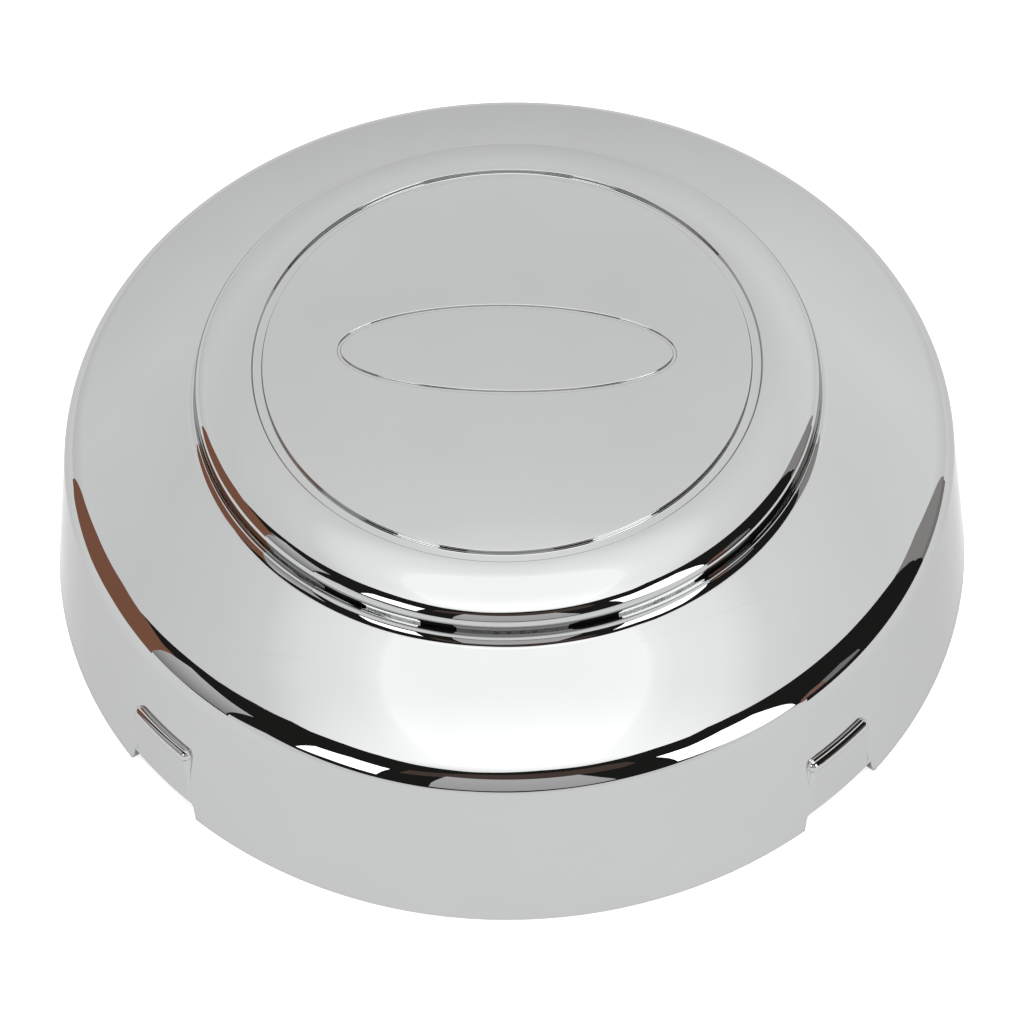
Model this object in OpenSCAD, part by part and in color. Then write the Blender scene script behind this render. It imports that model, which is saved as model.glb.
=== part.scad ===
// Wheel centre cap: one thin moulded shell that snaps into a wheel's centre opening.
// Millimetres. The rim lies on z = 0, the cap rises along +Z, and its front is towards -Y.
// The section is a chain from the rim up: skirt, shoulder, face, boss foot, boss wall,
// boss edge, brow and dome. Each link starts where the one before it ends, so that any one
// size can be changed by itself. The inside follows the same chain, one wall deeper.

/* [Skirt] */
// Diameter at the foot of the skirt
rim_d = 200; // [160:1:240]
// Lean of the skirt from upright, in degrees
skirt_draft = 9.4; // [3:0.1:14]
// Height at which the skirt runs into the shoulder
skirt_h = 35.2; // [26:0.1:50]
// Thickness of the moulded wall
wall = 2.5; // [1.8:0.1:3.2]
// Radius on the two edges of the rim
rim_edge_r = 0.5; // [0.2:0.1:0.8]

/* [Face] */
// Radius of the shoulder between skirt and face
shoulder_r = 7.6; // [5:0.1:12]
// Slope of the face where it leaves the shoulder, in degrees
face_tilt = 21; // [18:0.5:28]
// Radius of the face's gentle crown
face_crown_r = 178; // [150:1:260]

/* [Boss] */
// Diameter of the raised boss
boss_d = 130; // [110:1:140]
// Radius in the corner at the foot of the boss
boss_foot_r = 2.5; // [1:0.1:4]
// Upright height of the boss wall between its foot and its edge
boss_wall_h = 1.9; // [0.1:0.1:8]
// Radius of the boss's edge
boss_edge_r = 3.7; // [3.6:0.1:6]
// Slope of the brow where it leaves the boss's edge, in degrees
brow_tilt = 22; // [14:0.5:30]
// Radius of the brow between the edge and the dome
brow_r = 32; // [20:1:60]
// Radius of the shallow dome across the top
dome_r = 627; // [400:1:1200]

/* [Channel ring] */
// Diameter at the outer edge of the ring-shaped channel
channel_d = 105.4; // [90:0.2:106]
// Width of the channel at the surface
channel_w = 2.3; // [1:0.1:4]
// Depth of the channel
channel_depth = 0.9; // [0.4:0.1:1.2]
// Lean of the channel's sides from upright, in degrees
channel_flank = 12; // [5:1:20]

/* [Badge oval] */
// Length of the oval line
oval_l = 69.2; // [40:0.2:76]
// Width of the oval line across its middle
oval_w = 23.2; // [14:0.2:40]
// Width of the fine groove that draws the oval
oval_groove_w = 0.8; // [0.5:0.1:1.5]
// Depth of the fine groove
oval_groove_depth = 0.4; // [0.2:0.1:0.8]

/* [Snap clips] */
// Number of clips round the skirt
clip_n = 4; // [2:1:8]
// Angle of the first clip from the cap's front, in degrees
clip_first = 45; // [0:1:90]
// Width of each ramp
ramp_w = 17; // [10:0.5:24]
// Height at which each ramp leaves the skirt
ramp_foot_h = 4.6; // [3:0.1:8]
// How far each ramp stands out at its head
ramp_out = 1.3; // [0.8:0.1:2.4]
// Height of the bead's centre above the rim
bead_h = 18.5; // [14:0.1:26]
// Radius of the bead and of its round ends
bead_r = 1.6; // [1:0.1:1.9]
// How far the bead stands out from the skirt
bead_out = 1.5; // [1:0.1:2.6]

/* [Rim notches] */
// Width of each notch at the rim
notch_w = 20.8; // [14:0.1:30]
// Height of each notch
notch_h = 4.1; // [2:0.1:8]
// Lean of the notch's sides from upright, in degrees
notch_flank = 11.5; // [0:0.5:20]
// Radius in the two upper corners of each notch
notch_corner_r = 0.9; // [0.4:0.1:1.6]

/* [Inside gussets] */
// Number of gussets round the inside
gusset_n = 16; // [8:4:32]
// Thickness of each gusset
gusset_t = 1.5; // [1:0.1:2.4]
// Height above the rim at which a gusset starts
gusset_foot_h = 25; // [18:0.5:28]
// How far a gusset reaches in along the face from the skirt
gusset_reach = 9; // [6:0.5:14]

/* [Smoothness] */
// Number of sides on a full turn
turn_sides = 180; // [96:12:240]

/* [Hidden] */
$fn = turn_sides;

rim_r = rim_d/2;
boss_r = boss_d/2;
channel_r = channel_d/2;
lap = 0.4;
hair = 0.02;

// Radius of the skirt's outer skin at height z
function skirt_r(z) = rim_r - z*tan(skirt_draft);

// Centres of the section's arcs, from the rim up, as [radius, height]
shoulder_c = [skirt_r(skirt_h) - shoulder_r*cos(skirt_draft), skirt_h - shoulder_r*sin(skirt_draft)];
face_c = shoulder_c - (face_crown_r - shoulder_r)*[sin(face_tilt), cos(face_tilt)];
foot_x = boss_r + boss_foot_r - face_c.x;
foot_c = [boss_r + boss_foot_r, face_c.y + sqrt(pow(face_crown_r + boss_foot_r, 2) - pow(foot_x, 2))];
foot_tilt = asin(foot_x/(face_crown_r + boss_foot_r));
edge_c = [boss_r - boss_edge_r, foot_c.y + boss_wall_h];
brow_c = edge_c - (brow_r - boss_edge_r)*[sin(brow_tilt), cos(brow_tilt)];
dome_c = [0, brow_c.y - sqrt(pow(dome_r - brow_r, 2) - pow(brow_c.x, 2))];
dome_tilt = asin(brow_c.x/(dome_r - brow_r));

// Height of the dome's skin at radius r
function dome_z(r) = dome_c.y + sqrt(pow(dome_r, 2) - pow(r, 2));

// Points of an arc of radius r about c; an angle of 0 faces outward and 90 faces up
function arc(c, r, from, to, steps) =
    [for (i = [0:steps]) let (a = from + (to - from)*i/steps) c + r*[cos(a), sin(a)]];

// The skin at depth t below the outer surface, from the rim up to the axis
function rim_c(t, side) =
    [skirt_r(rim_edge_r) - (t + side*rim_edge_r)/cos(skirt_draft), rim_edge_r];
function skin(t) = concat(
    arc(shoulder_c, shoulder_r - t, skirt_draft, 90 - face_tilt, 10),
    arc(face_c, face_crown_r - t, 90 - face_tilt, 90 - foot_tilt, 8),
    arc(foot_c, boss_foot_r + t, 270 - foot_tilt, 180, 10),
    arc(edge_c, boss_edge_r - t, 0, 90 - brow_tilt, 10),
    arc(brow_c, brow_r - t, 90 - brow_tilt, 90 - dome_tilt, 5),
    arc(dome_c, dome_r - t, 90 - dome_tilt, 90, 12));
function reversed(p) = [for (i = [len(p) - 1:-1:0]) p[i]];

// Section of the shell: outer skin up to the axis, then the inner skin back down to the rim
section = concat(
    arc(rim_c(0, 1), rim_edge_r, -90, skirt_draft, 5),
    skin(0),
    reversed(skin(wall)),
    arc(rim_c(wall, -1), rim_edge_r, 180 + skirt_draft, 270, 5));

// Section of the channel, a shallow trough that follows the dome's slope
module channel_section() {
    tilt = asin(channel_r/dome_r);
    inset = channel_depth*tan(channel_flank);
    flare = lap*tan(channel_flank);
    translate([channel_r, dome_z(channel_r)])
        rotate(-tilt)
            polygon([
                [flare, lap],
                [-inset, -channel_depth],
                [inset - channel_w, -channel_depth],
                [-channel_w - flare, lap]]);
}

// An oval outline, w wide and l long, from the ellipse's own formula
module oval(l, w) {
    polygon([for (i = [0:119]) [l/2*cos(3*i), w/2*sin(3*i)]]);
}

// The fine groove: an oval ring cut down to an even depth below the dome
module oval_groove() {
    difference() {
        translate([0, 0, dome_z(oval_l/2) - wall/2])
            linear_extrude(dome_z(0) - dome_z(oval_l/2) + wall)
                difference() {
                    oval(oval_l + oval_groove_w, oval_w + oval_groove_w);
                    oval(oval_l - oval_groove_w, oval_w - oval_groove_w);
                }
        rotate_extrude()
            polygon(concat(
                [[0, dome_z(oval_l/2) - wall]],
                [[oval_l, dome_z(oval_l/2) - wall]],
                reversed(arc(dome_c, dome_r - oval_groove_depth, 90, 90 - asin(oval_l/dome_r), 16))));
    }
}

// One notch through the rim, cut from the axis outwards along +X
module notch() {
    top_w = notch_w - 2*notch_h*tan(notch_flank);
    r = notch_corner_r;
    corner = [top_w/2 - r*(1/cos(notch_flank) - tan(notch_flank)), notch_h - r];
    low = notch_w/2 + lap*tan(notch_flank);
    right = arc(corner, r, -notch_flank, 90, 5);
    translate([skirt_r(notch_h) - 2*wall, 0, 0])
        rotate([90, 0, 90])
            linear_extrude(4*wall)
                polygon(concat(
                    [[low, -lap]],
                    right,
                    [for (p = reversed(right)) [-p.x, p.y]],
                    [[-low, -lap]]));
}

// One clip on +X: a ramp that lifts away from the skirt and a round-ended bead at its head.
// The ramp stops a little below the bead's middle, and the bead's round ends are a hair
// smaller than the bead itself, so that no two surfaces share an edge.
module clip() {
    half = asin(ramp_w/2/skirt_r(bead_h));
    head_h = bead_h - 0.3*bead_r;
    bead_x = skirt_r(bead_h) + bead_out - bead_r;
    bead_half = asin((ramp_w/2 - bead_r)/bead_x);
    rotate(-half)
        rotate_extrude(angle = 2*half)
            polygon([
                [skirt_r(ramp_foot_h) - wall/2, ramp_foot_h],
                [skirt_r(ramp_foot_h), ramp_foot_h],
                [skirt_r(head_h) + ramp_out, head_h],
                [skirt_r(head_h) - wall/2, head_h]]);
    rotate(-bead_half)
        rotate_extrude(angle = 2*bead_half)
            translate([bead_x, bead_h])
                circle(r = bead_r, $fn = 32);
    for (side = [-1, 1])
        rotate(side*bead_half)
            translate([bead_x, 0, bead_h])
                sphere(r = bead_r - hair, $fn = 32);
}

// One gusset on +X: a thin web in the corner between the skirt and the face
module gusset() {
    root = wall/2;
    tip_r = skirt_r(skirt_h) - wall - gusset_reach;
    tip_a = acos((tip_r - face_c.x)/(face_crown_r - root));
    foot_r = skirt_r(gusset_foot_h) - root/cos(skirt_draft);
    translate([0, gusset_t/2, 0])
        rotate([90, 0, 0])
            linear_extrude(gusset_t)
                polygon(concat(
                    [[foot_r, gusset_foot_h]],
                    arc(shoulder_c, shoulder_r - root, skirt_draft, 90 - face_tilt, 6),
                    arc(face_c, face_crown_r - root, 90 - face_tilt, tip_a, 3)));
}

// The cap
module cap() {
    color("silver") {
        difference() {
            union() {
                rotate_extrude() polygon(section);
                for (i = [0:gusset_n - 1])
                    rotate(-90 + (i + 0.5)*360/gusset_n) gusset();
                for (i = [0:clip_n - 1])
                    rotate(-90 + clip_first + i*360/clip_n) clip();
            }
            rotate_extrude() channel_section();
            oval_groove();
            for (i = [0:clip_n - 1])
                rotate(-90 + clip_first + i*360/clip_n) notch();
        }
    }
}

cap();
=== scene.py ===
from math import acos, asin, atan2, cos, degrees, pi, radians, sin, sqrt, tan

import bmesh
import bpy
import numpy as np
from mathutils import Matrix, Vector

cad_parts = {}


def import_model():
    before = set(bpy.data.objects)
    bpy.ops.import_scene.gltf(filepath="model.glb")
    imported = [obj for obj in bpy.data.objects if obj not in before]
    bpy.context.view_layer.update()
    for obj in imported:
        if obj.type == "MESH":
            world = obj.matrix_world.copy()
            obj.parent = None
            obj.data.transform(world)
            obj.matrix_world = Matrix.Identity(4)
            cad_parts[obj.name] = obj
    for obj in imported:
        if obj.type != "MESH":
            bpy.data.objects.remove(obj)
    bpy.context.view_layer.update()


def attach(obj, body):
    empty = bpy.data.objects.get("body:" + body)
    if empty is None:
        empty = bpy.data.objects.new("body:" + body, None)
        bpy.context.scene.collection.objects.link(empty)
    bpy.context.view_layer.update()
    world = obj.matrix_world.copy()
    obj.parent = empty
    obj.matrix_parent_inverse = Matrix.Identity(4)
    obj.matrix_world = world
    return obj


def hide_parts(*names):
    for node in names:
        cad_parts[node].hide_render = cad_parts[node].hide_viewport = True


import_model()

MM = 0.001

# Sizes of the cap in millimetres, the same as in the part's own source
RIM_R = 100.0
SKIRT_DRAFT = 9.4
SKIRT_H = 35.2
WALL = 2.5
RIM_EDGE_R = 0.5
SHOULDER_R = 7.6
FACE_TILT = 21.0
FACE_CROWN_R = 178.0
BOSS_R = 65.0
BOSS_FOOT_R = 2.5
BOSS_WALL_H = 1.9
BOSS_EDGE_R = 3.7
BROW_TILT = 22.0
BROW_R = 32.0
DOME_R = 627.0
CHANNEL_R = 52.7
CHANNEL_W = 2.3
CHANNEL_DEPTH = 0.9
CHANNEL_FLANK = 12.0
OVAL_A = 34.6
OVAL_B = 11.6
OVAL_GROOVE_W = 0.8
OVAL_GROOVE_DEPTH = 0.4
OVAL_GROOVE_FLANK = 15.0
CLIP_N = 4
CLIP_FIRST = 45.0
RAMP_W = 17.0
RAMP_FOOT_H = 4.6
RAMP_OUT = 1.3
BEAD_H = 18.5
BEAD_R = 1.6
BEAD_OUT = 1.5
NOTCH_W = 20.8
NOTCH_H = 4.1
NOTCH_FLANK = 11.5
NOTCH_CORNER_R = 0.9
GUSSET_N = 16
GUSSET_T = 1.5
GUSSET_FOOT_H = 25.0
GUSSET_REACH = 9.0

# Roundings that only the visual mesh has: lips and inner corners, from the outer lip in
CHANNEL_ROUNDING = [0.3, 0.42, 0.42, 0.3]
GROOVE_ROUNDING = [0.3, 0.12, 0.12, 0.3]
NOTCH_FOOT_R = 0.35

# How steeply a clip's ramp and bead run out, and how far their creases are rounded
RAMP_SIDE_RISE = 2.6
RAMP_HEAD_FALL = 6.0
RAMP_HEAD_LAP = 0.25
RAMP_SOFT = 0.1
BEAD_FOOT_FALL = 0.8
BEAD_SOFT = 0.06
CLIP_FOOT_SOFT = 0.2


# The section: a chain of arcs from the rim up to the axis


def polar(angle):
    return np.array([cos(radians(angle)), sin(radians(angle))])


def skirt_r(z):
    """Radius of the skirt's outer skin at height z."""
    return RIM_R - z * tan(radians(SKIRT_DRAFT))


shoulder_c = np.array([skirt_r(SKIRT_H), SKIRT_H]) - SHOULDER_R * polar(SKIRT_DRAFT)
face_c = shoulder_c - (FACE_CROWN_R - SHOULDER_R) * polar(90 - FACE_TILT)
foot_x = BOSS_R + BOSS_FOOT_R - face_c[0]
foot_c = np.array([BOSS_R + BOSS_FOOT_R, face_c[1] + sqrt((FACE_CROWN_R + BOSS_FOOT_R) ** 2 - foot_x**2)])
foot_tilt = degrees(asin(foot_x / (FACE_CROWN_R + BOSS_FOOT_R)))
edge_c = np.array([BOSS_R - BOSS_EDGE_R, foot_c[1] + BOSS_WALL_H])
brow_c = edge_c - (BROW_R - BOSS_EDGE_R) * polar(90 - BROW_TILT)
dome_c = np.array([0.0, brow_c[1] - sqrt((DOME_R - BROW_R) ** 2 - brow_c[0] ** 2)])
dome_tilt = degrees(asin(brow_c[0] / (DOME_R - BROW_R)))


def dome_z(r):
    """Height of the dome's skin at radius r."""
    return dome_c[1] + np.sqrt(DOME_R**2 - np.square(r))


def arc(centre, radius, start, stop, steps, hollow=False):
    """Points of an arc and the way each one faces, as rows of [r, z, normal r, normal z]."""
    rows = []
    for i in range(steps + 1):
        n = polar(start + (stop - start) * i / steps)
        p = centre + radius * n
        rows.append([*p, *(-n if hollow else n)])
    return rows


def rounded(corners, radii, steps):
    """A run of straight lines with its corners rounded; the run faces to its left."""
    corners = [np.array(c, float) for c in corners]
    rows = []
    for i, corner in enumerate(corners):
        before = corners[max(i - 1, 0)]
        after = corners[min(i + 1, len(corners) - 1)]
        if i == 0 or i == len(corners) - 1:
            d = (after - before) / np.linalg.norm(after - before)
            rows.append([*corner, -d[1], d[0]])
            continue
        d0 = (corner - before) / np.linalg.norm(corner - before)
        d1 = (after - corner) / np.linalg.norm(after - corner)
        turn = atan2(d0[0] * d1[1] - d0[1] * d1[0], d0 @ d1)
        side = 1 if turn > 0 else -1
        cut = radii[i - 1] * tan(abs(turn) / 2)
        start = corner - d0 * cut
        left = np.array([-d0[1], d0[0]])
        centre = start + left * side * radii[i - 1]
        for k in range(steps + 1):
            a = turn * k / steps
            n = np.array([left[0] * cos(a) - left[1] * sin(a), left[0] * sin(a) + left[1] * cos(a)])
            rows.append([*(centre - n * side * radii[i - 1]), *n])
    return rows


def skin(depth, steps):
    """The skin at a depth below the outer surface, from the skirt's top to the dome."""
    shoulder, face, foot, edge, brow = steps
    return (
        arc(shoulder_c, SHOULDER_R - depth, SKIRT_DRAFT, 90 - FACE_TILT, shoulder)
        + arc(face_c, FACE_CROWN_R - depth, 90 - FACE_TILT, 90 - foot_tilt, face)[1:]
        + arc(foot_c, BOSS_FOOT_R + depth, 270 - foot_tilt, 180, foot, hollow=True)[1:]
        + arc(edge_c, BOSS_EDGE_R - depth, 0, 90 - BROW_TILT, edge)
        + arc(brow_c, BROW_R - depth, 90 - BROW_TILT, 90 - dome_tilt, brow)[1:]
    )


def channel_rows():
    """The ring-shaped channel, from its outer lip to its inner lip, laid on the dome's slope."""
    lean = asin(CHANNEL_R / DOME_R)
    inset = CHANNEL_DEPTH * tan(radians(CHANNEL_FLANK))
    run = [
        (0.7, 0),
        (0, 0),
        (-inset, -CHANNEL_DEPTH),
        (inset - CHANNEL_W, -CHANNEL_DEPTH),
        (-CHANNEL_W, 0),
        (-CHANNEL_W - 0.7, 0),
    ]
    rows = []
    for x, y, nx, ny in rounded(run, CHANNEL_ROUNDING, 4):
        r = CHANNEL_R + x * cos(lean) + y * sin(lean)
        z = dome_z(CHANNEL_R) - x * sin(lean) + y * cos(lean)
        # The run heads inwards, so its left is down: the way it faces is turned over
        rows.append([r, z, -(nx * cos(lean) + ny * sin(lean)), -(-nx * sin(lean) + ny * cos(lean))])
    return rows


# The columns: angles round the cap, close together at the edges of clips and notches


def notch_outline():
    """Half of the rim's lower edge at one notch, from the rim in to the notch's middle.
    Each row is [across, height, and the way the edge faces, out of the material]."""
    top = NOTCH_W / 2 - NOTCH_H * tan(radians(NOTCH_FLANK))
    run = [(NOTCH_W / 2 + 0.5, 0), (NOTCH_W / 2, 0), (top, NOTCH_H), (top - 1.0, NOTCH_H)]
    return rounded(run, [NOTCH_FOOT_R, NOTCH_CORNER_R], 5)


notch_side = notch_outline()


def columns():
    """For half a clip's share of the skirt: [across at the rim, height at the rim,
    facing across, facing up, across further up], all in mm along the rim."""
    inner = notch_side[-1][0]
    outer = notch_side[0][0]
    rows = []
    for u in list(np.linspace(0, 6.2, 6)) + list(np.linspace(6.5, inner - 0.3, 9)):
        rows.append([u, NOTCH_H, 0, -1, u])
    side = notch_side[::-1]
    for k, (u, v, nu, nv) in enumerate(side):
        even = inner + (outer - inner) * k / (len(side) - 1)
        rows.append([u, v, nu, nv, even])
    share = RIM_R * 2 * pi / CLIP_N / 2
    u = outer
    step = 0.35
    while u + step < share - 1.2:
        u += step
        step = min(step * 1.35, 4.0)
        rows.append([u, 0, 0, -1, u])
    return np.array(rows), share


half_share, share = columns()


def full_turn():
    """All columns round the cap: angle of the clip, then the row from columns()."""
    rows = []
    for k in range(CLIP_N):
        centre = -90 + CLIP_FIRST + k * 360 / CLIP_N
        for row in half_share[:0:-1]:
            u, v, nu, nv, even = row
            rows.append([radians(centre), -u, v, -nu, nv, -even])
        for row in half_share:
            rows.append([radians(centre), *row])
        rows.append([radians(centre), share, 0, 0, -1, share])
    return np.array(rows)


turn = full_turn()
turn_angle = turn[:, 0] + turn[:, 5] / RIM_R
inside_angle = turn_angle[0] + np.arange(192) * 2 * pi / 192
upper_angle = turn_angle[0] + np.arange(480) * 2 * pi / 480


def smooth_least(a, b, soft):
    """The lesser of two heights, with the crease between them rounded."""
    return -smooth_most(-a, -b, soft)


def smooth_most(a, b, soft):
    """The greater of two heights, with the crease between them rounded."""
    h = np.clip(0.5 + 0.5 * (a - b) / soft, 0, 1)
    return b + (a - b) * h + soft * h * (1 - h)


def clip_height(u, v):
    """How far the skirt's skin stands out at a clip, u across and v up from the rim."""
    head = BEAD_H - 0.3 * BEAD_R
    across = RAMP_W / 2 - np.abs(u)
    ramp = RAMP_OUT * (v - RAMP_FOOT_H) / (head - RAMP_FOOT_H)
    ramp = smooth_least(ramp, across * RAMP_SIDE_RISE, RAMP_SOFT)
    ramp = smooth_least(ramp, (head + RAMP_HEAD_LAP - v) * RAMP_HEAD_FALL, RAMP_SOFT)
    past = np.maximum(np.abs(u) - (RAMP_W / 2 - BEAD_R), 0)
    left = BEAD_R**2 - np.square(v - BEAD_H) - np.square(past)
    middle = BEAD_OUT - BEAD_R + (v - BEAD_H) * tan(radians(SKIRT_DRAFT))
    dome = middle + np.sqrt(np.maximum(left, 1e-9))
    bead = np.where(left > 0, dome, middle + left * BEAD_FOOT_FALL)
    both = smooth_most(ramp, bead, BEAD_SOFT)
    return smooth_most(both, 0.0, CLIP_FOOT_SOFT) - CLIP_FOOT_SOFT / 4


def on_skirt(u, v, depth):
    """A point of the skirt at u across from a clip's middle, v up from the rim and depth in."""
    centre = turn[:, 0]
    radius = skirt_r(v) - depth / cos(radians(SKIRT_DRAFT))
    angle = centre + u / RIM_R
    return np.stack([radius * np.cos(angle), radius * np.sin(angle), v + 0 * u], axis=1)


def skirt_skin(u, v):
    """A point of the outer skirt with its clip."""
    width = u * (1 - v * tan(radians(SKIRT_DRAFT)) / RIM_R)
    near = np.abs(u) < RAMP_W
    out = np.where(near & (v > RAMP_FOOT_H - 1), clip_height(width, v), 0.0)
    out = np.maximum(out, 0.0)
    return on_skirt(u, v, -out * cos(radians(SKIRT_DRAFT)))


def facing(point, u, v, reach=0.02):
    """Unit normals of a surface given as a function of u and v."""
    across = point(u + reach, v) - point(u - reach, v)
    up = point(u, v + reach) - point(u, v - reach)
    n = np.cross(across, up)
    return n / np.linalg.norm(n, axis=1)[:, None]


def ring(angles, r, z, nr, nz):
    """A full ring of points at one radius and height, with its normals."""
    c, s = np.cos(angles), np.sin(angles)
    points = np.stack([r * c, r * s, z + 0 * c], axis=1)
    normals = np.stack([nr * c, nr * s, nz + 0 * c], axis=1)
    return points, normals


# Rings of the cap, in order from the middle of the inside out to the middle of the top


def inner_rings():
    """The inside, from the axis down to the skirt's foot."""
    rings = []
    for r in (8, 16, 26, 36, 44):
        z = dome_c[1] + sqrt((DOME_R - WALL) ** 2 - r**2)
        n = np.array([r, z - dome_c[1]]) / (DOME_R - WALL)
        rings.append(ring(inside_angle, r, z, -n[0], -n[1]))
    for r, z, nr, nz in skin(WALL, (7, 5, 7, 5, 4))[::-1]:
        rings.append(ring(inside_angle, r, z, -nr, -nz))
    n = polar(SKIRT_DRAFT)
    for z in (27.0, 17.0, 9.0):
        rings.append(ring(inside_angle, skirt_r(z) - WALL / n[0], z, -n[0], -n[1]))
    return rings


STRAIGHT_H = 6.6


def rim_edge(t, inner):
    """One ring of the rounding on the rim's edge; t runs from the flat (0) to the skin (1)."""
    u, v, nu, nv = turn[:, 1:5].T
    angle = turn[:, 0] + u / RIM_R
    out = np.stack([np.cos(angle), np.sin(angle), 0 * angle], axis=1) * cos(radians(SKIRT_DRAFT))
    out[:, 2] = sin(radians(SKIRT_DRAFT))
    out *= -1 if inner else 1
    across = np.stack([-np.sin(angle), np.cos(angle), 0 * angle], axis=1)
    flat = across * nu[:, None] + np.array([0, 0, 1]) * nv[:, None]
    between = np.arccos(np.sum(flat * out, axis=1))[:, None]
    normals = (flat * np.sin(between * (1 - t)) + out * np.sin(between * t)) / np.sin(between)
    centre = on_skirt(u, v, WALL if inner else 0) - (flat + out) * RIM_EDGE_R / (1 + np.cos(between))
    return centre + normals * RIM_EDGE_R, normals


def blend_ring(t, depth):
    """A ring between the rim's outline (t = 0) and a level circle above the notches (t = 1)."""
    u, v, nu, nv, even = turn[:, 1:].T
    u0 = u - nu * RIM_EDGE_R
    v0 = v - nv * RIM_EDGE_R
    uu = u0 + (even - u0) * t
    vv = v0 + (STRAIGHT_H - v0) * t
    if depth:
        points = on_skirt(uu, vv, depth)
        normals = -facing(lambda a, b: on_skirt(a, b, depth), uu, vv)
    else:
        points = skirt_skin(uu, vv)
        normals = facing(skirt_skin, uu, vv)
    return points, normals


# Of the rings round the rim, those whose strips still belong to the inside
INNER_RIM_RINGS = 7


def rim_rings():
    """Round the skirt's lower edge, from the inside to the outside."""
    rings = [blend_ring(t, WALL) for t in (1.0, 0.6, 0.2)]
    rings += [rim_edge(t, True) for t in (1, 0.75, 0.5, 0.25, 0)]
    rings += [rim_edge(t, False) for t in (0, 0.25, 0.5, 0.75, 1)]
    rings += [blend_ring(t, 0) for t in (0.12, 0.3, 0.5, 0.75, 1.0)]
    return rings


def skirt_rings():
    """Up the outer skirt, over the clips."""
    heights = list(np.linspace(7.4, 15.8, 8)) + list(np.linspace(16.7, 20.3, 29))
    heights += [20.8, 22.0, 24.2, 26.8, 29.6, 32.4]
    even = turn[:, 5]
    rings = []
    for z in heights:
        level = z + 0 * even
        rings.append((skirt_skin(even, level), facing(skirt_skin, even, level)))
    return rings


def upper_rings():
    """The shoulder, the face, the boss and the channel, then the disc with its oval groove."""
    rows = skin(0, (12, 8, 34, 18, 4))
    at = next(i for i, row in enumerate(rows) if row[0] == edge_c[0] + BOSS_EDGE_R)
    wall = [[BOSS_R, foot_c[1] + BOSS_WALL_H * k / 7, 1, 0] for k in range(1, 7)]
    rows = rows[:at] + wall + rows[at:]
    rings = [ring(upper_angle, *row) for row in rows if row[0] > CHANNEL_R + 0.75]
    rings += [ring(upper_angle, *row) for row in channel_rows()]
    return rings


def groove_rows():
    """The groove that draws the oval, from its outer lip in: across, up and the way it faces."""
    half = OVAL_GROOVE_W / 2
    inset = OVAL_GROOVE_DEPTH * tan(radians(OVAL_GROOVE_FLANK))
    run = [
        (half + 0.25, 0),
        (half, 0),
        (half - inset, -OVAL_GROOVE_DEPTH),
        (inset - half, -OVAL_GROOVE_DEPTH),
        (-half, 0),
        (-half - 0.25, 0),
    ]
    return [(x, y, -nx, -ny) for x, y, nx, ny in rounded(run, GROOVE_ROUNDING, 3)]


def disc_point(flat, rise, across, lean_across, lean_up):
    """Points on the dome raised by a little, facing partly across and partly up."""
    r2 = np.sum(np.square(flat), axis=1)
    lift = np.sqrt(DOME_R**2 - r2)
    points = np.column_stack([flat, dome_z(np.sqrt(r2)) + rise])
    up = np.column_stack([flat, lift]) / DOME_R
    normals = up * lean_up
    normals[:, :2] += across * lean_across
    return points, normals / np.linalg.norm(normals, axis=1)[:, None]


def disc_rings():
    """From the channel's inner side in to the middle, over the groove that draws the oval."""
    unit = np.column_stack([np.cos(upper_angle), np.sin(upper_angle)])
    line = unit * (OVAL_A, OVAL_B)
    across = unit / (OVAL_A, OVAL_B)
    across /= np.linalg.norm(across, axis=1)[:, None]
    groove = groove_rows()
    start = CHANNEL_R - CHANNEL_W - 1.3
    rings = []
    for t in (0, 0.16, 0.34, 0.54, 0.74, 0.9):
        outer = line + across * groove[0][0]
        rings.append(disc_point(outer * t + unit * start * (1 - t), 0, across, 0, 1))
    for x, y, nx, ny in groove:
        rings.append(disc_point(line + across * x, y, across, nx, ny))
    for t in (0.85, 0.6, 0.3):
        rings.append(disc_point((line + across * groove[-1][0]) * t, 0, across, 0, 1))
    return rings


def join_rings(a, angles_a, b, angles_b):
    """Triangles between two rings of points that have different numbers of columns."""
    faces = []
    i = j = 0
    count_a, count_b = len(angles_a), len(angles_b)
    ends_a = np.append(angles_a[1:], angles_a[0] + 2 * pi)
    ends_b = np.append(angles_b[1:], angles_b[0] + 2 * pi)
    while i < count_a or j < count_b:
        if j == count_b or (i < count_a and ends_a[i] <= ends_b[j]):
            faces.append((a + i, a + (i + 1) % count_a, b + j % count_b))
            i += 1
        else:
            faces.append((a + i % count_a, b + (j + 1) % count_b, b + j))
            j += 1
    return faces


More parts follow.
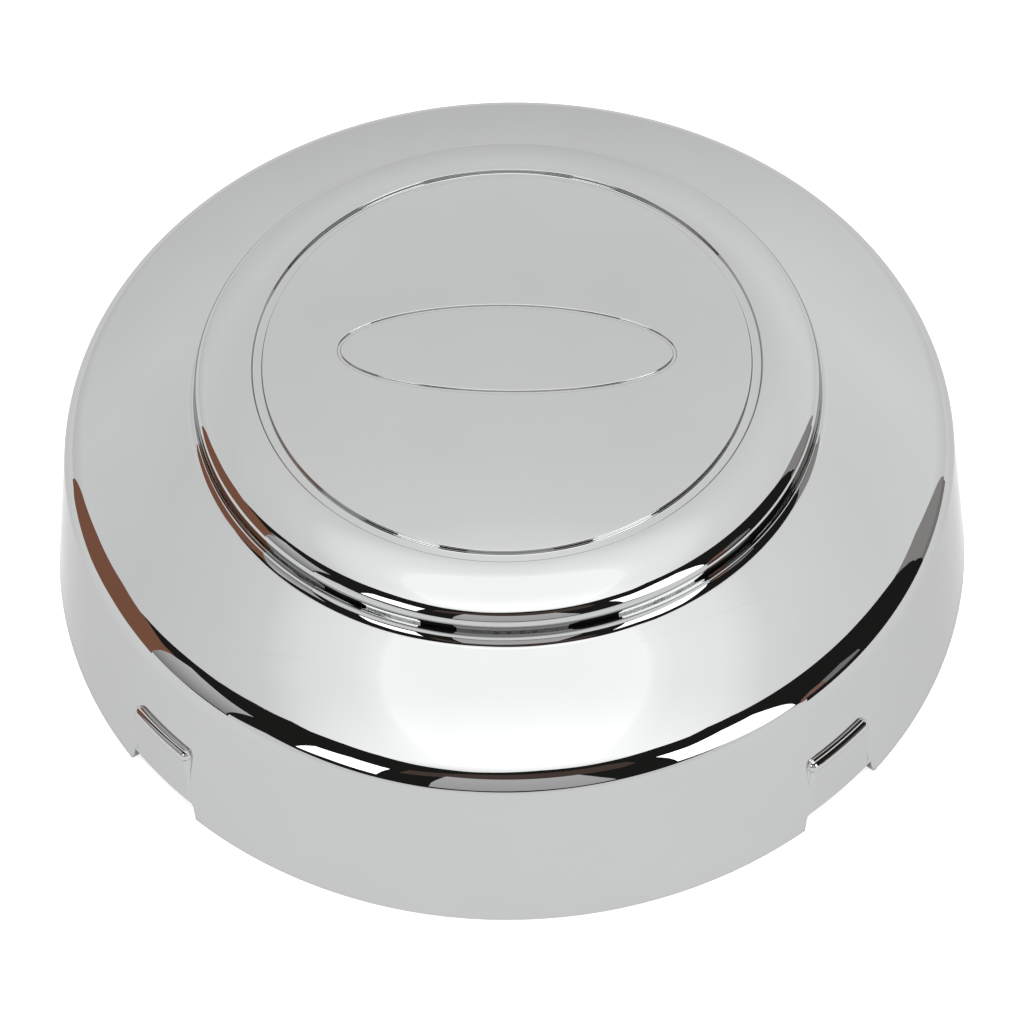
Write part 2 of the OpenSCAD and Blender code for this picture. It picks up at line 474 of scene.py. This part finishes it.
def cap_shell():
    """The whole moulding as one closed skin, with each point's true normal."""
    inner = [(inside_angle, p, n) for p, n in inner_rings()]
    lower = [(turn_angle, p, n) for p, n in rim_rings()]
    inside_count = len(inner) + INNER_RIM_RINGS
    lower += [(turn_angle, p, n) for p, n in skirt_rings()]
    upper = [(upper_angle, p, n) for p, n in upper_rings() + disc_rings()]
    rings = inner + lower + upper
    points = [[0, 0, dome_c[1] + DOME_R - WALL]]
    normals = [[0, 0, -1.0]]
    starts = []
    for angles, p, n in rings:
        starts.append(len(points))
        points.extend(p)
        normals.extend(n)
    top = len(points)
    points.append([0, 0, dome_c[1] + DOME_R])
    normals.append([0, 0, 1.0])
    count = len(inside_angle)
    faces = [(0, 1 + (j + 1) % count, 1 + j) for j in range(count)]
    finish = [1] * count
    for i in range(len(rings) - 1):
        a, b = starts[i], starts[i + 1]
        angles, following = rings[i][0], rings[i + 1][0]
        if angles is following:
            count = len(angles)
            after = [(j + 1) % count for j in range(count)]
            strip = [(a + j, a + k, b + k, b + j) for j, k in enumerate(after)]
        else:
            strip = join_rings(a, angles, b, following)
        faces += strip
        finish += [1 if i < inside_count else 0] * len(strip)
    count = len(upper_angle)
    a = starts[-1]
    faces += [(a + j, a + (j + 1) % count, top) for j in range(count)]
    finish += [0] * count
    mesh = bpy.data.meshes.new("cap_shell")
    mesh.from_pydata([tuple(np.array(p) * MM) for p in points], [], faces)
    mesh.polygons.foreach_set("use_smooth", [True] * len(faces))
    mesh.polygons.foreach_set("material_index", finish)
    mesh.normals_split_custom_set_from_vertices([tuple(n) for n in normals])
    piece = bpy.data.objects.new("cap_shell", mesh)
    bpy.context.scene.collection.objects.link(piece)
    return piece


def gussets():
    """Thin webs in the corner between the skirt and the face, inside the cap."""
    root = WALL / 2
    tip_r = skirt_r(SKIRT_H) - WALL - GUSSET_REACH
    tip_a = degrees(acos((tip_r - face_c[0]) / (FACE_CROWN_R - root)))
    outline = [(skirt_r(GUSSET_FOOT_H) - root / cos(radians(SKIRT_DRAFT)), GUSSET_FOOT_H)]
    outline += [row[:2] for row in arc(shoulder_c, SHOULDER_R - root, SKIRT_DRAFT, 90 - FACE_TILT, 8)]
    outline += [row[:2] for row in arc(face_c, FACE_CROWN_R - root, 90 - FACE_TILT, tip_a, 3)]
    bm = bmesh.new()
    for i in range(GUSSET_N):
        spin = Matrix.Rotation(radians(-90 + (i + 0.5) * 360 / GUSSET_N), 4, "Z")
        sides = []
        for y in (-GUSSET_T / 2, GUSSET_T / 2):
            sides.append([bm.verts.new(spin @ Vector((r * MM, y * MM, z * MM))) for r, z in outline])
        bm.faces.new(sides[0])
        bm.faces.new(sides[1][::-1])
        for k in range(len(outline)):
            n = (k + 1) % len(outline)
            bm.faces.new((sides[0][k], sides[1][k], sides[1][n], sides[0][n]))
    bmesh.ops.recalc_face_normals(bm, faces=bm.faces)
    mesh = bpy.data.meshes.new("inside_gussets")
    bm.to_mesh(mesh)
    bm.free()
    piece = bpy.data.objects.new("inside_gussets", mesh)
    bpy.context.scene.collection.objects.link(piece)
    soft = piece.modifiers.new("soft_edges", "BEVEL")
    soft.width = 0.25 * MM
    soft.segments = 2
    soft.limit_method = "ANGLE"
    return piece


# Finishes


def link(tree, a, b):
    tree.links.new(a, b)


def surface_waves():
    """A shader group: the faint waviness that a polished moulding keeps, as a normal."""
    group = bpy.data.node_groups.new("plating_waves", "ShaderNodeTree")
    face = group.interface
    for name, kind in (("Wave Scale", "NodeSocketFloat"), ("Wave Depth", "NodeSocketFloat")):
        face.new_socket(name=name, in_out="INPUT", socket_type=kind)
    face.new_socket(name="Normal", in_out="OUTPUT", socket_type="NodeSocketVector")
    face.new_socket(name="Mottle", in_out="OUTPUT", socket_type="NodeSocketFloat")
    nodes = group.nodes
    enter = nodes.new("NodeGroupInput")
    leave = nodes.new("NodeGroupOutput")
    place = nodes.new("ShaderNodeTexCoord")
    wave = nodes.new("ShaderNodeTexNoise")
    wave.inputs["Detail"].default_value = 1.0
    wave.inputs["Roughness"].default_value = 0.35
    mottle = nodes.new("ShaderNodeTexNoise")
    mottle.inputs["Scale"].default_value = 60.0
    mottle.inputs["Detail"].default_value = 4.0
    bump = nodes.new("ShaderNodeBump")
    bump.inputs["Strength"].default_value = 1.0
    link(group, place.outputs["Object"], wave.inputs["Vector"])
    link(group, place.outputs["Object"], mottle.inputs["Vector"])
    link(group, enter.outputs["Wave Scale"], wave.inputs["Scale"])
    link(group, enter.outputs["Wave Depth"], bump.inputs["Distance"])
    link(group, wave.outputs["Fac"], bump.inputs["Height"])
    link(group, bump.outputs["Normal"], leave.inputs["Normal"])
    link(group, mottle.outputs["Fac"], leave.inputs["Mottle"])
    return group


EDGE_TINT = (0.76, 0.76, 0.76)


def plating(name, dark, light, rough_low, rough_high, wave_scale, wave_depth, waves):
    """A plated finish: metal colour with a little mottling, and a wavy polish."""
    material = bpy.data.materials.new(name)
    material.use_nodes = True
    tree = material.node_tree
    shader = tree.nodes["Principled BSDF"]
    shader.inputs["Metallic"].default_value = 1.0
    shader.inputs["Specular Tint"].default_value = (*EDGE_TINT, 1)
    effect = tree.nodes.new("ShaderNodeGroup")
    effect.node_tree = waves
    effect.inputs["Wave Scale"].default_value = wave_scale
    effect.inputs["Wave Depth"].default_value = wave_depth
    tone = tree.nodes.new("ShaderNodeMix")
    tone.data_type = "RGBA"
    tone.inputs["A"].default_value = (*dark, 1)
    tone.inputs["B"].default_value = (*light, 1)
    rough = tree.nodes.new("ShaderNodeMapRange")
    rough.inputs["From Min"].default_value = 0.35
    rough.inputs["From Max"].default_value = 0.65
    rough.inputs["To Min"].default_value = rough_low
    rough.inputs["To Max"].default_value = rough_high
    link(tree, effect.outputs["Mottle"], tone.inputs["Factor"])
    link(tree, effect.outputs["Mottle"], rough.inputs["Value"])
    link(tree, tone.outputs["Result"], shader.inputs["Base Color"])
    link(tree, rough.outputs["Result"], shader.inputs["Roughness"])
    link(tree, effect.outputs["Normal"], shader.inputs["Normal"])
    return material


# The studio: a pale tent with an arched opening, and what stands beyond the opening

VIEW_TURN = 3.016
TENT_R = 1.5
EYE_H = 0.045


# The outlines below are in degrees, worked out from the edges of the bands that the chrome mirrors.
# Upper edge of the tent's opening, as azimuth and elevation
OPENING = [
    (-100.8, -12), (-100.2, 42.5), (-98.3, 46.5), (-97.4, 51), (-95.5, 54.4), (-91.8, 57.1),
    (-85.9, 60.6), (-78.7, 64.2), (-71.1, 66.8), (-63.8, 67.5), (-46.8, 66.1), (-31, 62.5),
    (-13, 60.6), (7, 64.4), (20, 63.1), (33, 63.7), (46, 65.3), (57, 64.1), (60.5, 65.1),
    (70.5, 67.1), (76.4, 64.9), (81.7, 62.2), (85.7, 60.2), (90.4, 57.5), (95.2, 54.5),
    (101.2, 49.3), (103.5, 45), (104.3, 38), (113, 36), (113.6, -12),
]
# The cards beyond the opening: azimuth, lower edge and upper edge, from left to right
WHITE_SWEEP = [
    (-61, -3, 6.2), (-53, -3, 13), (-45, -3, 9.6), (-31, -3, 5.8), (-18, -3, 3.8), (-10, -3, 5),
    (0, -3, 4.7), (18, -3, 6.4), (33, -3, 7.7), (50, -3, 8.5), (58, -3, 4), (61, -3, 0),
]
BROWN_BOARD = [
    (-110.2, -5, -1), (-109, -5, 15.3), (-105, -10.7, 26.2), (-97.8, -8, 33.9), (-87.1, -4.4, 33.7),
    (-79, -4.6, 28.2), (-75.9, -5.2, 29.2), (-74.4, -5.7, 10),
]
SOFT_BOX_LEFT = [(-46.2, 16, 37.3), (-39, 16.8, 41), (-28.7, 14.3, 37.7)]
SOFT_BOX_RIGHT = [(32.5, 12.4, 42.8), (40, 10, 41.1), (51, 5.5, 46.3), (58.6, 5, 44.8)]
GREY_BOARD = [(-17.8, 8, 20), (-16.6, 8, 43), (14, 9, 42), (19.5, 10, 12)]
DULL_STRIP = [(-26, 33, 46), (-13, 43, 55), (6, 43, 57), (24, 40, 56), (28, 44, 52)]
PALE_BOARD = [(-84, -3, 42.5), (-76.5, -2, 40.1), (-68.6, 1.5, 36.9), (-61.2, 2, 35.5)]
GREY_CURTAIN = [(97.5, -8, 14), (100.6, -8, 29.6), (104.1, -8, 40), (113.5, -8, 38)]
LOW_STOOL = [(60, -3, 6), (63, -3, 12), (67, -3, 13)]
GREY_SEAT = [(66, -3, 13), (72, -3, 16), (76, -3, 8)]
# The tent's tone at each elevation
TENT_TONES = [
    (0, 0.87), (10, 0.90), (20, 0.94), (33, 1.0), (48, 0.95),
    (60, 1.0), (66, 1.06), (72, 1.27), (80, 1.38), (86, 1.5), (90, 1.62),
]
# How the tent brightens towards the camera and to the right: where, and from which level to which
FRONT_REACH = (0.0, -0.28 * TENT_R)
FRONT_LEVELS = (2.0, 2.5)
RIGHT_REACH = (0.1 * TENT_R, 0.5 * TENT_R)
RIGHT_LEVELS = (1.0, 1.1)
SOFT_BOX_LIGHT = (3.0, 3.0, 3.0)
ROOM_BLACK = (0.018, 0.018, 0.017)


def toward(azimuth, elevation, distance):
    """A point in a direction from the cap; azimuth 0 is the camera's side, + is its right."""
    a = radians(azimuth + VIEW_TURN)
    e = radians(elevation)
    return Vector((sin(a) * cos(e), -cos(a) * cos(e), sin(e))) * distance + Vector((0, 0, EYE_H))


def reflected_only(piece):
    """Stage that shows in reflections and nowhere else."""
    piece.visible_camera = False
    piece.visible_diffuse = False
    piece.visible_shadow = False


def glow(name, low, high, top_z):
    """Plain light that passes from one tone at the table to another at height top_z."""
    material = bpy.data.materials.new(name)
    material.use_nodes = True
    tree = material.node_tree
    tree.nodes.clear()
    out = tree.nodes.new("ShaderNodeOutputMaterial")
    light = tree.nodes.new("ShaderNodeEmission")
    place = tree.nodes.new("ShaderNodeTexCoord")
    apart = tree.nodes.new("ShaderNodeSeparateXYZ")
    height = tree.nodes.new("ShaderNodeMapRange")
    height.inputs["From Max"].default_value = top_z
    tone = tree.nodes.new("ShaderNodeMix")
    tone.data_type = "RGBA"
    tone.inputs["A"].default_value = (*low, 1)
    tone.inputs["B"].default_value = (*high, 1)
    link(tree, place.outputs["Object"], apart.inputs["Vector"])
    link(tree, apart.outputs["Z"], height.inputs["Value"])
    link(tree, height.outputs["Result"], tone.inputs["Factor"])
    link(tree, tone.outputs["Result"], light.inputs["Color"])
    link(tree, light.outputs["Emission"], out.inputs["Surface"])
    return material


def stage_sheet(name, grid, material):
    """A sheet from rows of points."""
    verts = [p for row in grid for p in row]
    wide = len(grid[0])
    faces = []
    for i in range(len(grid) - 1):
        for j in range(wide - 1):
            a = i * wide + j
            faces.append((a, a + 1, a + wide + 1, a + wide))
    mesh = bpy.data.meshes.new(name)
    mesh.from_pydata([tuple(v) for v in verts], [], faces)
    mesh.materials.append(material)
    piece = bpy.data.objects.new(name, mesh)
    bpy.context.scene.collection.objects.link(piece)
    reflected_only(piece)
    return piece


def card(name, rows, distance, tone, top=None):
    """A card: rows of [azimuth, low edge, high edge] from its left to its right."""
    rows = np.array(rows, float)
    steps = np.arange(rows[0, 0], rows[-1, 0], 2.5)
    grid = []
    for i in range(9):
        line = []
        for azimuth in np.union1d(rows[:, 0], steps):
            low = np.interp(azimuth, rows[:, 0], rows[:, 1])
            high = np.interp(azimuth, rows[:, 0], rows[:, 2])
            line.append(toward(azimuth, low + (high - low) * i / 8, distance))
        grid.append(line)
    top_z = max(point.z for point in grid[-1])
    return stage_sheet(name, grid, glow(name, tone, top or tone, top_z))


def swell(tree, reach, levels):
    """A shader value that passes smoothly from one level to another between two distances."""
    node = tree.nodes.new("ShaderNodeMapRange")
    node.interpolation_type = "SMOOTHSTEP"
    node.inputs["From Min"].default_value = reach[0]
    node.inputs["From Max"].default_value = reach[1]
    node.inputs["To Min"].default_value = levels[0]
    node.inputs["To Max"].default_value = levels[1]
    return node


def tent():
    """The tent: brightest overhead and towards the camera, a little brighter on the right."""
    material = bpy.data.materials.new("tent_cloth")
    material.use_nodes = True
    tree = material.node_tree
    tree.nodes.clear()
    out = tree.nodes.new("ShaderNodeOutputMaterial")
    light = tree.nodes.new("ShaderNodeEmission")
    place = tree.nodes.new("ShaderNodeTexCoord")
    turn_back = tree.nodes.new("ShaderNodeVectorRotate")
    turn_back.rotation_type = "Z_AXIS"
    turn_back.inputs["Angle"].default_value = -radians(VIEW_TURN)
    apart = tree.nodes.new("ShaderNodeSeparateXYZ")
    height = tree.nodes.new("ShaderNodeMapRange")
    height.inputs["From Max"].default_value = TENT_R
    front = swell(tree, FRONT_REACH, FRONT_LEVELS)
    right = swell(tree, RIGHT_REACH, RIGHT_LEVELS)
    level = tree.nodes.new("ShaderNodeMath")
    level.operation = "MULTIPLY"
    ramp = tree.nodes.new("ShaderNodeValToRGB")
    ramp.color_ramp.elements.remove(ramp.color_ramp.elements[1])
    for k, (elevation, tone) in enumerate(TENT_TONES):
        spot = sin(radians(elevation))
        element = ramp.color_ramp.elements[0] if k == 0 else ramp.color_ramp.elements.new(spot)
        element.position = spot
        element.color = (tone / 2, tone / 2, tone / 2, 1)
    strength = tree.nodes.new("ShaderNodeMath")
    strength.operation = "MULTIPLY"
    link(tree, place.outputs["Object"], turn_back.inputs["Vector"])
    link(tree, turn_back.outputs["Vector"], apart.inputs["Vector"])
    link(tree, apart.outputs["Z"], height.inputs["Value"])
    link(tree, apart.outputs["Y"], front.inputs["Value"])
    link(tree, height.outputs["Result"], ramp.inputs["Fac"])
    link(tree, ramp.outputs["Color"], strength.inputs[0])
    link(tree, apart.outputs["X"], right.inputs["Value"])
    link(tree, front.outputs["Result"], level.inputs[0])
    link(tree, right.outputs["Result"], level.inputs[1])
    link(tree, level.outputs["Value"], strength.inputs[1])
    link(tree, strength.outputs["Value"], light.inputs["Strength"])
    link(tree, light.outputs["Emission"], out.inputs["Surface"])
    grid = []
    edge = np.array(OPENING, float)
    for i in range(25):
        row = []
        for azimuth in np.union1d(np.arange(-180, 181, 2.0), edge[:, 0]):
            low = np.interp(azimuth, edge[:, 0], edge[:, 1], left=-12, right=-12)
            row.append(toward(azimuth, low + (90 - low) * i / 24, TENT_R))
        grid.append(row)
    stage_sheet("tent", grid, material)


def room():
    """What shows through the tent's opening: a dark room, two soft boxes and some boards."""
    card("dark_room", [(-119, -2, 75), (119, -2, 75)], 3.0, ROOM_BLACK)
    card("white_sweep", WHITE_SWEEP, 2.9, (0.97, 0.97, 0.975))
    card("dark_edge_right", [(56, -9, 1), (91, -9, 1)], 0.35, ROOM_BLACK)
    card("curtain_foot", [(91, -9, 1), (106, -9, 1)], 0.35, (0.3, 0.285, 0.28))
    card("soft_box_left", SOFT_BOX_LEFT, 1.9, SOFT_BOX_LIGHT)
    card("soft_box_right", SOFT_BOX_RIGHT, 1.9, SOFT_BOX_LIGHT)
    card("grey_board", GREY_BOARD, 2.2, (0.54, 0.53, 0.535), (0.68, 0.67, 0.675))
    card("dull_strip", DULL_STRIP, 2.4, (0.1, 0.07, 0.06))
    card("pale_board", PALE_BOARD, 2.1, (0.3, 0.3, 0.3), (0.75, 0.745, 0.747))
    card("brown_board", BROWN_BOARD, 0.35, (0.295, 0.13, 0.082))
    card("grey_curtain", GREY_CURTAIN, 1.4, (0.385, 0.37, 0.365))
    card("low_stool", LOW_STOOL, 2.0, (0.3, 0.16, 0.13))
    card("grey_seat", GREY_SEAT, 2.0, (0.28, 0.275, 0.275))


# Plain light of the table's own: as seen directly, and as mirrored in the cap
TABLE_FILL = 0.62
MIRRORED_FILL = 0.98
# Painted shade under the cap, seen only in the cap's reflections: the part of the mirrored light that is
# left underneath the cap, and where that painted shade ends
PAINTED_SHADE_UNDER_CAP = 0.12
PAINTED_SHADE_REACH = ((RIM_R - 3) * MM, (RIM_R + 1) * MM)


def floor():
    """A pale table top: white beside the cap, with its cast shadow, and a painted shade underneath it
    that only mirrored rays see.
    """
    size = 6.0
    mesh = bpy.data.meshes.new("table_top")
    corners = [(-size, -size, 0), (size, -size, 0), (size, size, 0), (-size, size, 0)]
    mesh.from_pydata(corners, [], [(0, 1, 2, 3)])
    material = bpy.data.materials.new("table_white")
    material.use_nodes = True
    tree = material.node_tree
    tree.nodes.clear()
    out = tree.nodes.new("ShaderNodeOutputMaterial")
    matt = tree.nodes.new("ShaderNodeBsdfDiffuse")
    fill = tree.nodes.new("ShaderNodeEmission")
    fill.inputs["Color"].default_value = (1, 1, 1, 1)
    both = tree.nodes.new("ShaderNodeAddShader")
    path = tree.nodes.new("ShaderNodeLightPath")
    direct = tree.nodes.new("ShaderNodeMath")
    direct.operation = "MULTIPLY"
    direct.inputs[1].default_value = TABLE_FILL
    level = tree.nodes.new("ShaderNodeMath")
    level.operation = "MULTIPLY_ADD"
    place = tree.nodes.new("ShaderNodeTexCoord")
    apart = tree.nodes.new("ShaderNodeVectorMath")
    apart.operation = "LENGTH"
    # Painted shade: the light that the cap mirrors from the table falls to a small share inside the rim,
    # set by distance from the middle rather than by a lamp
    painted_shade = swell(tree, PAINTED_SHADE_REACH, (PAINTED_SHADE_UNDER_CAP * MIRRORED_FILL, MIRRORED_FILL))
    link(tree, place.outputs["Object"], apart.inputs[0])
    link(tree, apart.outputs["Value"], painted_shade.inputs["Value"])
    link(tree, painted_shade.outputs["Result"], level.inputs[1])
    paint = tree.nodes.new("ShaderNodeMix")
    paint.data_type = "RGBA"
    paint.inputs["A"].default_value = (0.8, 0.8, 0.8, 1)
    paint.inputs["B"].default_value = (0.05, 0.05, 0.05, 1)
    link(tree, path.outputs["Is Glossy Ray"], paint.inputs["Factor"])
    link(tree, paint.outputs["Result"], matt.inputs["Color"])
    link(tree, path.outputs["Is Camera Ray"], direct.inputs[0])
    link(tree, path.outputs["Is Glossy Ray"], level.inputs[0])
    link(tree, direct.outputs["Value"], level.inputs[2])
    link(tree, level.outputs["Value"], fill.inputs["Strength"])
    link(tree, matt.outputs["BSDF"], both.inputs[0])
    link(tree, fill.outputs["Emission"], both.inputs[1])
    link(tree, both.outputs["Shader"], out.inputs["Surface"])
    mesh.materials.append(material)
    piece = bpy.data.objects.new("table_top", mesh)
    bpy.context.scene.collection.objects.link(piece)


def lamp():
    """Soft plain light for the table; the metal takes its light from the tent."""
    place = Vector((0.3, 0.2, 1.4))
    data = bpy.data.lights.new("top_light", "AREA")
    data.shape = "SQUARE"
    data.size = 1.6
    data.energy = 14.0
    piece = bpy.data.objects.new("top_light", data)
    piece.location = place
    piece.rotation_mode = "QUATERNION"
    piece.rotation_quaternion = (-place).to_track_quat("-Z", "Y")
    piece.visible_glossy = False
    bpy.context.scene.collection.objects.link(piece)


def world():
    """Plain white all round."""
    sky = bpy.data.worlds.new("studio")
    bpy.context.scene.world = sky
    sky.use_nodes = True
    back = sky.node_tree.nodes["Background"]
    back.inputs["Color"].default_value = (1, 1, 1, 1)
    back.inputs["Strength"].default_value = 1.0


# The camera, fitted to the rim, the channel, the oval and the notches

CAM_DISTANCE = 0.65425
CAM_ELEVATION = 52.996
CAM_ROLL = -1.54
CAM_FOCAL_PX = 2949.7
CAM_CENTRE_PX = (511.18, 524.76)
FRAME_PX = 1024.0


def camera():
    a, e = radians(VIEW_TURN), radians(CAM_ELEVATION)
    eye = Vector((sin(a) * cos(e), -cos(a) * cos(e), sin(e))) * CAM_DISTANCE
    ahead = -eye.normalized()
    right = Vector((cos(a), sin(a), 0))
    up = right.cross(ahead)
    roll = radians(CAM_ROLL)
    side = right * cos(roll) + up * sin(roll)
    top = -right * sin(roll) + up * cos(roll)
    data = bpy.data.cameras.new("photo_camera")
    data.sensor_width = 36.0
    data.lens = CAM_FOCAL_PX * data.sensor_width / FRAME_PX
    data.shift_x = (FRAME_PX / 2 - CAM_CENTRE_PX[0]) / FRAME_PX
    data.shift_y = (CAM_CENTRE_PX[1] - FRAME_PX / 2) / FRAME_PX
    data.clip_start = 0.01
    data.clip_end = 50.0
    eye_piece = bpy.data.objects.new("photo_camera", data)
    turn_to = Matrix((side, top, -ahead)).transposed()
    eye_piece.matrix_world = Matrix.Translation(eye) @ turn_to.to_4x4()
    bpy.context.scene.collection.objects.link(eye_piece)
    bpy.context.scene.camera = eye_piece


waves = surface_waves()
bright = plating(
    "bright_chrome", (0.535, 0.542, 0.54), (0.563, 0.57, 0.568), 0.0, 0.02, 25.0, 0.01 * MM, waves
)
dull = plating(
    "dull_chrome_inside", (0.45, 0.455, 0.453), (0.52, 0.526, 0.524), 0.22, 0.34, 60.0, 0.04 * MM, waves
)

shell = cap_shell()
shell.data.materials.append(bright)
shell.data.materials.append(dull)
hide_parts("cap")
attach(shell, "root")

webs = gussets()
webs.data.materials.append(dull)
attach(webs, "root")

tent()
room()
floor()
lamp()
world()
camera()
bpy.context.scene.view_settings.view_transform = "Standard"
